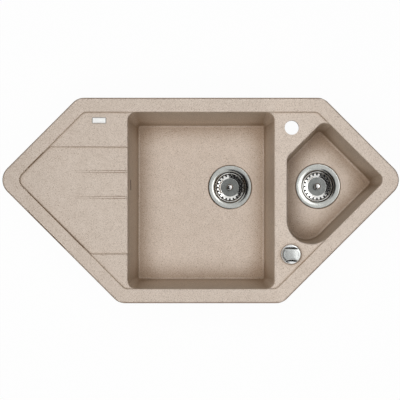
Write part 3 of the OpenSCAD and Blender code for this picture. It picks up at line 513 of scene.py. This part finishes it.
def ringCutTree():
    # holes all round a turned sheet: a row of cutters on a circle, taken out of it
    tree, keys = newTree("ringOfHoles", [
        ("Count", "NodeSocketInt"), ("Circle", "NodeSocketFloat"), ("Height", "NodeSocketFloat"),
        ("Across", "NodeSocketFloat"), ("Along", "NodeSocketFloat"), ("Deep", "NodeSocketFloat"),
        ("Corners", "NodeSocketInt"), ("Centre", "NodeSocketVector"), ("Look", "NodeSocketMaterial")])
    given = addNode(tree, "NodeGroupInput").outputs
    circle = addNode(tree, "GeometryNodeMeshCircle", {
        "Vertices": given["Count"], "Radius": given["Circle"]})
    cutter = addNode(tree, "GeometryNodeMeshCylinder", {
        "Vertices": given["Corners"], "Radius": 0.5, "Depth": 1.0})
    # turned by half a corner, so that the sides of a square cutter stand square
    halfCorner = mathOf(tree, "DIVIDE", math.pi, given["Corners"])
    square = addNode(tree, "GeometryNodeTransform", {
        "Geometry": cutter.outputs["Mesh"], "Rotation": vectorOf(tree, z=halfCorner)})
    index = addNode(tree, "GeometryNodeInputIndex").outputs[0]
    about = mathOf(tree, "MULTIPLY", mathOf(tree, "DIVIDE", index, given["Count"]), 2 * math.pi)
    row = addNode(tree, "GeometryNodeInstanceOnPoints", {
        "Points": circle.outputs["Mesh"], "Instance": square.outputs["Geometry"],
        "Rotation": vectorOf(tree, z=about),
        "Scale": vectorOf(tree, given["Along"], given["Across"], given["Deep"])})
    real = addNode(tree, "GeometryNodeRealizeInstances", {0: row.outputs["Instances"]})
    spot = addNode(tree, "ShaderNodeVectorMath", {
        0: vectorOf(tree, z=given["Height"]), 1: given["Centre"]})
    cutters = addNode(tree, "GeometryNodeTransform", {
        "Geometry": real.outputs[0], "Translation": spot.outputs[0]})
    cut = addNode(tree, "GeometryNodeMeshBoolean", {
        0: given["Geometry"], 1: cutters.outputs["Geometry"]},
        operation="DIFFERENCE", solver="EXACT")
    endTree(tree, cut.outputs[0], given["Look"])
    return tree, keys


cutTree, cutKeys = ringCutTree()


def perforated(name, mesh, place, look, holes):
    values = {"Count": holes["count"], "Corners": holes["corners"], "Centre": place, "Look": look}
    for label in ("Circle", "Height", "Across", "Along", "Deep"):
        values[label] = holes[label.lower()] * mm
    return finishMesh(runTree(name, mesh, cutTree, cutKeys, values), [])


# Waste cup: the flange that shows on the bowl floor, its dished mouth, the ledge and the bottom
cupLook = {
    # radius and height above the bowl floor, from under the flange's edge to the cup's wall
    "mouth": [(57, -1.9), (57, -1.2), (56.95, -0.2), (56.7, 0.35), (56.2, 0.6), (54.5, 0.75),
              (52.5, 0.7), (50.5, 0.59), (48.5, 0.4), (46.8, 0.15), (45.5, -0.13), (44.2, -0.47),
              (42.6, -1.17), (41.2, -1.8), (40.3, -2.45), (39.8, -3.35), (39.5, -4.95),
              (39.5, -8.5)],
    "outside": [(40.7, -9), (44.4, -2), (44.6, -1.9)],
    "wall": 39.5, "ledge": 33, "ledgeDepth": 29.5, "depth": 37, "sheet": 1.2,
    "holes": {"count": 8, "circle": 22, "height": -37.6, "across": 12, "along": 12, "deep": 6,
              "corners": 24},
}


def makeCup(name, place, look, nodeName, c=cupLook):
    wall, ledge, sheet = c["wall"], c["ledge"], c["sheet"]
    step, low = -c["ledgeDepth"], -c["depth"]
    profile = c["mouth"] + [
        (wall, step + 1), (wall - 1, step), (ledge + 1, step), (ledge, step - 1),
        (ledge, low + 1.5), (ledge - 1.5, low), (0, low), (0, low - sheet),
        (ledge + sheet, low - sheet), (ledge + sheet, step - sheet),
        (wall + sheet, step - sheet)] + c["outside"]
    mesh = turned(name + "Blank", profile, place, look)
    mesh = perforated(name, mesh, place, look, c["holes"])
    keepPiece(name, mesh, "sink", nodeName)


# Basket: a flat middle, a gently dished ring with square holes, a steep wall and a sloped rim
basketLook = {
    "bore": 3.3, "flat": 24.6, "low": -26.2, "sheet": 1.2, "ring": 34.2, "ringRise": 2.2,
    "wall": 36.4, "rim": -11.2,
    # the rim's section, from the wall's outside over the top, beside the wall and the rim
    "rimLine": [(1.2, -1.3), (1.9, -0.6), (2.0, 0.6), (1.7, 0.9), (0.8, 0.6), (-0.3, 0.15),
                (-0.9, -0.4)],
    "holes": {"count": 20, "circle": 31.2, "height": -24.2, "across": 6.0, "along": 6.6, "deep": 8,
              "corners": 4},
}


def makeBasket(name, place, body, look, discLook, nodeName, b=basketLook):
    low, sheet, flat, rise = b["low"], b["sheet"], b["flat"], b["ringRise"]
    ring, wall, rim = b["ring"], b["wall"], b["rim"]
    top = low + sheet
    profile = [(b["bore"], top), (b["bore"], low), (flat, low), (ring, low + rise),
               (wall - 0.9, low + rise + 1.6), (wall, rim - 2)]
    profile += [(wall + out, rim + up) for out, up in b["rimLine"]]
    profile += [(wall - sheet - 0.25, rim - 2.2), (wall - 2.3, top + rise + 1.9),
                (ring - 0.9, top + rise), (flat + 0.6, top + 0.12), (flat - 0.1, top - 0.25),
                (flat - 0.6, top - 0.25), (flat - 0.9, top)]
    mesh = turned(name + "Blank", profile, place, look)
    mesh = perforated(name, mesh, place, look, b["holes"])
    # the flat middle takes the steel painted darker, for the dark reflection it shows
    mesh.materials.append(discLook)
    disc = len(mesh.materials) - 1
    for face in mesh.polygons:
        reach = math.hypot(face.center[0] - place[0], face.center[1] - place[1])
        if reach < (flat - 0.5) * mm and face.normal[2] > 0.5:
            face.material_index = disc
    keepPiece(name, mesh, body, nodeName)


# Basket knob: a polished mushroom on a neck, with its stem through the plug
pullLook = {
    "head": 8.7, "top": -6.0, "headTall": 4.6, "edge": 1.1, "neck": 4.2, "base": -25.0,
    "stem": 3.0, "stemLow": -31.7, "domeAt": (0.93, 0.84, 0.72, 0.58, 0.42, 0.26, 0.12),
    "domeRise": 3.6,
}


def makePull(name, place, body, look, nodeName, p=pullLook):
    neck, base, edge = p["neck"], p["base"], p["edge"]
    head = p["top"] - p["headTall"]
    profile = [(0, p["stemLow"]), (p["stem"], p["stemLow"]), (p["stem"], base), (neck + 2.2, base),
               (neck + 1.2, base + 0.9), (neck + 0.3, base + 2.4), (neck, base + 5),
               (neck + 0.4, head - 2.4), (neck + 1.6, head - 1.5), (p["head"] - 1, head - 0.9)]
    profile += arcOf((p["head"] - edge, head + 0.2), edge, -80, 40, 6)
    profile += [(p["head"] * s, head + 1.0 + p["domeRise"] * math.sqrt(1 - s * s))
                for s in p["domeAt"]]
    profile += [(0, p["top"])]
    keepPiece(name, turned(name, profile, place, look, 64), body, nodeName)


makeCup("mainWasteCup", mainWaste, mainSteel, "main_waste_cup")
makeCup("halfWasteCup", halfWaste, halfSteel, "half_waste_cup")
makeBasket("mainStrainer", mainWaste, "main_basket", mainRing, mainDisc, "main_basket")
makeBasket("halfStrainer", halfWaste, "half_basket", halfRing, halfDisc, "half_basket")
makePull("mainPull", mainWaste, "main_basket", knobChrome, "main_basket_knob")
makePull("halfPull", halfWaste, "half_basket", knobChrome, "half_basket_knob")
print("waste cups, baskets and their knobs are made")


# Control knob: a polished disc with a grip that is straight behind and hollow in front
controlPlace = (220 * mm, -131 * mm, 0)
controlLook = {
    "radius": 23.0, "grip": 22.4, "low": 9.0, "foot": 3.5, "high": 23.0, "back": 14.0,
    "front": -13.0, "hollow": 35.0, "bore": 5.0, "crown": 2.6, "crownRise": 0.6,
    # the grip's rings: share of its outline, depth under the top, share of the crown
    "rings": [(1.0, 5.0, 0), (0.985, 3.2, 0), (0.955, 2.2, 0), (0.91, 1.5, 0), (0.85, 1.0, 0.3),
              (0.76, 0.75, 0.7), (0.6, 0.6, 1), (0.4, 0.6, 1), (0.2, 0.6, 1)],
}


def gripOutline(c, count=28):
    # the back, the left round, the hollow front and the right round, count points each
    def frontAt(x):
        return c["front"] - c["hollow"] + math.sqrt(c["hollow"] ** 2 - x * x)

    def roundFrom(first, last, side):
        turns = [first + (last - first) * k / count for k in range(count)]
        return [(side * c["grip"] * math.cos(turn), c["grip"] * math.sin(turn)) for turn in turns]

    # where the hollow front meets the round
    cornerX = 0.0
    while frontAt(cornerX) > -math.sqrt(c["grip"] ** 2 - cornerX ** 2):
        cornerX += 0.01
    backX = math.sqrt(c["grip"] ** 2 - c["back"] ** 2)
    frontTurn = math.atan2(frontAt(cornerX), cornerX)
    backTurn = math.atan2(c["back"], backX)
    back = [(backX - 2 * backX * k / count, c["back"]) for k in range(count)]
    across = [-cornerX + 2 * cornerX * k / count for k in range(count)]
    front = [(x, frontAt(x)) for x in across]
    return back + roundFrom(backTurn, frontTurn, -1) + front + roundFrom(frontTurn, backTurn, 1)


def makeControl(c=controlLook):
    low, foot, radius, high = c["low"], c["foot"], c["radius"], c["high"]
    line = gripOutline(c)
    count = len(line)
    rings = [(1.0, high - low - foot + 0.4, 0)] + c["rings"]
    points = []
    for share, depth, crowned in rings:
        for x, y in line:
            drop = c["crown"] * ((x * share) / radius) ** 2 - c["crownRise"]
            points.append((x * share, y * share, high - depth - crowned * drop))
    points.append((0, 0, high))
    faces = sideFaces(count, len(rings))
    last = (len(rings) - 1) * count
    faces += [(last + i, last + (i + 1) % count, len(points) - 1) for i in range(count)]
    faces.append(tuple(reversed(range(count))))
    grip = bpy.data.meshes.new("controlGrip")
    grip.from_pydata(placed(points, controlPlace), [], faces)
    grip = finishMesh(grip, [satinChrome], 32)
    disc = turned("controlDisc", [
        (0, low + 10), (0, low + foot - 0.2), (radius - 3, low + foot - 0.1),
        (radius - 1.2, low + foot - 0.25), (radius - 0.4, low + foot - 0.8),
        (radius, low + foot - 1.7), (radius, low + 0.4), (radius - 0.4, low), (c["bore"], low),
        (c["bore"], low + 10)], controlPlace, chrome)
    keepPiece("controlGrip", grip, "control", "control_knob")
    keepPiece("controlDisc", disc, "control", "control_knob")


makeControl()
print("control knob is made")


# Label plate on the deck, left bare
labelLook = {
    "place": (-247, 195), "long": 34.5, "wide": 15.0, "corner": 2.0, "deck": 4.5, "thick": 0.5,
    "frame": 1.7, "sunk": 0.12, "softEdge": 0.15,
}
labelFace = matteFinish("labelWhite", (236, 236, 234), (246, 246, 244), (0.3, 0.4), 500,
                        0.01 * mm, 0.1 * mm)
labelEdge = matteFinish("labelEdge", (150, 147, 142), (166, 163, 158), (0.3, 0.42), 500,
                        0.01 * mm, 0.1 * mm)


def roundedBox(long, wide, corner, inset, steps=6):
    radius = max(corner - inset, 0.3)
    x, y = long / 2 - inset - radius, wide / 2 - inset - radius
    line = []
    for k, centre in enumerate([(x, y), (-x, y), (-x, -y), (x, -y)]):
        line += arcOf(centre, radius, 90 * k, 90 * k + 90, steps)
    return line


def makeLabel(p=labelLook):
    thick, soft = p["thick"], p["softEdge"]
    levels = [(0, 0), (0, thick - soft), (soft, thick), (p["frame"], thick),
              (p["frame"] + soft, thick - p["sunk"])]
    points = [(x + p["place"][0], y + p["place"][1], height + p["deck"]) for inset, height in levels
              for x, y in roundedBox(p["long"], p["wide"], p["corner"], inset)]
    count = len(points) // len(levels)
    faces = sideFaces(count, len(levels))
    faces.append(tuple(reversed(range(count))))
    faces.append(tuple(range((len(levels) - 1) * count, len(levels) * count)))
    mesh = bpy.data.meshes.new("labelPlate")
    mesh.from_pydata(placed(points, (0, 0, 0)), [], faces)
    mesh = finishMesh(mesh, [labelEdge, labelFace], 30)
    for face in mesh.polygons:
        if len(face.vertices) == count and face.normal[2] > 0:
            face.material_index = 1    # the bare face inside the frame
    keepPiece("labelPlate", mesh, "sink")


makeLabel()
print("label plate is made")


# Threads: a ridge that winds round each outlet and round the control's sleeve
def threadTree():
    tree, keys = newTree("threadRidge", [
        ("Radius", "NodeSocketFloat"), ("Turns", "NodeSocketFloat"), ("Length", "NodeSocketFloat"),
        ("Ridge", "NodeSocketFloat"), ("Centre", "NodeSocketVector"), ("Look", "NodeSocketMaterial")])
    given = addNode(tree, "NodeGroupInput").outputs
    spiral = addNode(tree, "GeometryNodeCurveSpiral", {
        "Resolution": 40, "Rotations": given["Turns"], "Start Radius": given["Radius"],
        "End Radius": given["Radius"], "Height": given["Length"]})
    section = addNode(tree, "GeometryNodeCurvePrimitiveCircle", {
        "Resolution": 6, "Radius": given["Ridge"]})
    wind = addNode(tree, "GeometryNodeCurveToMesh", {
        "Curve": spiral.outputs[0], "Profile Curve": section.outputs[0], "Fill Caps": True})
    move = addNode(tree, "GeometryNodeTransform", {
        "Geometry": wind.outputs[0], "Translation": given["Centre"]})
    endTree(tree, move.outputs[0], given["Look"])
    return tree, keys


spiralTree, spiralKeys = threadTree()
outletThread = {"radius": 23.9, "pitch": 2.3, "ridge": 0.7}
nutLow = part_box("control_nut")[0][2] / mm
threads = {
    "mainOutletThread": {**outletThread, "low": -278.5, "high": -259.5, "at": (76.5, 40)},
    "halfOutletThread": {**outletThread, "low": -218.5, "high": -199.5, "at": (300, 40)},
    "sleeveThread": {"radius": 17.0, "pitch": 1.8, "ridge": 0.55, "low": -32.5,
                     "high": nutLow - 1.2, "at": (220, -131)},
}
for name, t in threads.items():
    length = t["high"] - t["low"]
    mesh = runTree(name, bpy.data.meshes.new(name + "Empty"), spiralTree, spiralKeys, {
        "Radius": t["radius"] * mm, "Turns": length / t["pitch"], "Length": length * mm,
        "Ridge": t["ridge"] * mm, "Centre": (t["at"][0] * mm, t["at"][1] * mm, t["low"] * mm),
        "Look": plastic})
    keepPiece(name, finishMesh(mesh, [], 60), "sink")
print("threads are wound")


# Floor, light and camera

studio = {
    "floorZ": -300 * mm, "floorSide": 60.0, "floorGrain": (3, 2), "floorTones": (0.8, 0.82),
    "floorRoughness": 0.9,
    "white": 0.965, "whiteFrom": 1.0, "whiteTo": 3.0, "skyStrength": 0.04,
    "topPower": 82.0, "topSize": 2.0, "topPlace": (-0.22, -0.12, 2.7),
    "sidePower": 34.0, "sideSize": 2.3, "sidePlace": (1.8, 0.55, 2.0),
    "flag": [(-3.4, -2.0), (0.25, -2.0), (0.25, -0.6), (-0.22, -0.6), (-0.3, 1.2), (-3.4, 1.2)],
    "flagZ": 1.9,
}


def whiteShare(tree):
    # 1 for the rays that show the background white
    path = addNode(tree, "ShaderNodeLightPath").outputs
    share = mathOf(tree, "MAXIMUM", path["Is Camera Ray"], path["Is Glossy Ray"])
    return mathOf(tree, "MAXIMUM", share, path["Is Transmission Ray"])


def mixOf(tree, share, first, second):
    return addNode(tree, "ShaderNodeMixShader", {0: share, 1: first, 2: second}).outputs[0]


def makeFloor(room):
    half, low = room["floorSide"] / 2, room["floorZ"]
    mesh = bpy.data.meshes.new("floor")
    mesh.from_pydata([(-half, -half, low), (half, -half, low), (half, half, low), (-half, half, low)],
                     [], [(0, 1, 2, 3)])
    floor = bpy.data.objects.new("floor", mesh)
    scene.collection.objects.link(floor)
    finish, tree, shader, place = newFinish("paleFloor")
    dark, light = room["floorTones"]
    tone = rampOf(tree, noiseOf(tree, place, *room["floorGrain"]), [
        (0.3, (dark, dark, dark, 1)), (0.7, (light, light, light, 1))])
    tree.links.new(tone, shader.inputs["Base Color"])
    shader.inputs["Roughness"].default_value = room["floorRoughness"]
    # the white share grows outwards, so that the floor has no horizon
    reach = addNode(tree, "ShaderNodeVectorMath", {0: place}, operation="LENGTH").outputs["Value"]
    far = shareOf(tree, reach, room["whiteFrom"], room["whiteTo"])
    share = mathOf(tree, "MULTIPLY", whiteShare(tree), rangeOf(tree, far, room["white"], 1.0))
    glow = addNode(tree, "ShaderNodeEmission").outputs[0]
    upper = mixOf(tree, share, shader.outputs[0], glow)
    # clear from below, so that the underside can be looked at
    below = addNode(tree, "ShaderNodeNewGeometry").outputs["Backfacing"]
    seen = mixOf(tree, below, upper, addNode(tree, "ShaderNodeBsdfTransparent").outputs[0])
    tree.links.new(seen, tree.nodes["Material Output"].inputs["Surface"])
    mesh.materials.append(finish)


def makeSky(room):
    sky = bpy.data.worlds.new("sky")
    sky.use_nodes = True
    tree = sky.node_tree
    soft = tree.nodes["Background"]
    soft.inputs["Color"].default_value = white
    soft.inputs["Strength"].default_value = room["skyStrength"]
    bright = addNode(tree, "ShaderNodeBackground", {"Color": white, "Strength": 1.0})
    seen = mixOf(tree, whiteShare(tree), soft.outputs[0], bright.outputs[0])
    tree.links.new(seen, tree.nodes["World Output"].inputs["Surface"])
    scene.world = sky


# The top lamp gives the even light, the side lamp only the highlights on metal
def makeLamp(name, power, size, place, forMetal):
    lamp = bpy.data.lights.new(name, "AREA")
    lamp.energy = power
    lamp.size = size
    light = bpy.data.objects.new(name, lamp)
    light.location = place
    light.rotation_euler = (-Vector(place)).to_track_quat("-Z", "Y").to_euler()
    light.visible_camera = False
    light.visible_glossy = forMetal
    light.visible_diffuse = not forMetal
    scene.collection.objects.link(light)


# A black cloth to the left, which only the metal shows
def makeFlag(room):
    mesh = bpy.data.meshes.new("blackFlag")
    mesh.from_pydata([(x, y, room["flagZ"]) for x, y in room["flag"]], [],
                     [tuple(reversed(range(len(room["flag"]))))])
    mesh.materials.append(matteFinish("flagCloth", (10, 10, 10), (18, 18, 18), (0.8, 0.9), 400,
                                      0.1 * mm, 0.0))
    flag = bpy.data.objects.new("blackFlag", mesh)
    scene.collection.objects.link(flag)
    for rays in ("camera", "diffuse", "transmission", "volume_scatter", "shadow"):
        setattr(flag, "visible_" + rays, False)


eye = {
    "place": (0.009, -0.0645, 2.408), "lens": 88.9, "sensor": 36, "shift": (-0.0108, 0.0675),
    "farthest": 50,
}


def makeCamera(eye):
    data = bpy.data.cameras.new("camera")
    data.sensor_width = eye["sensor"]
    data.lens = eye["lens"]
    data.shift_x, data.shift_y = eye["shift"]
    data.clip_end = eye["farthest"]
    camera = bpy.data.objects.new("camera", data)
    camera.location = eye["place"]
    scene.collection.objects.link(camera)
    scene.camera = camera


makeFloor(studio)
makeSky(studio)
makeFlag(studio)
makeLamp("topLight", studio["topPower"], studio["topSize"], studio["topPlace"], False)
makeLamp("sideLight", studio["sidePower"], studio["sideSize"], studio["sidePlace"], True)
makeCamera(eye)
scene.view_settings.view_transform = "Standard"
print("floor, light and camera are in place")
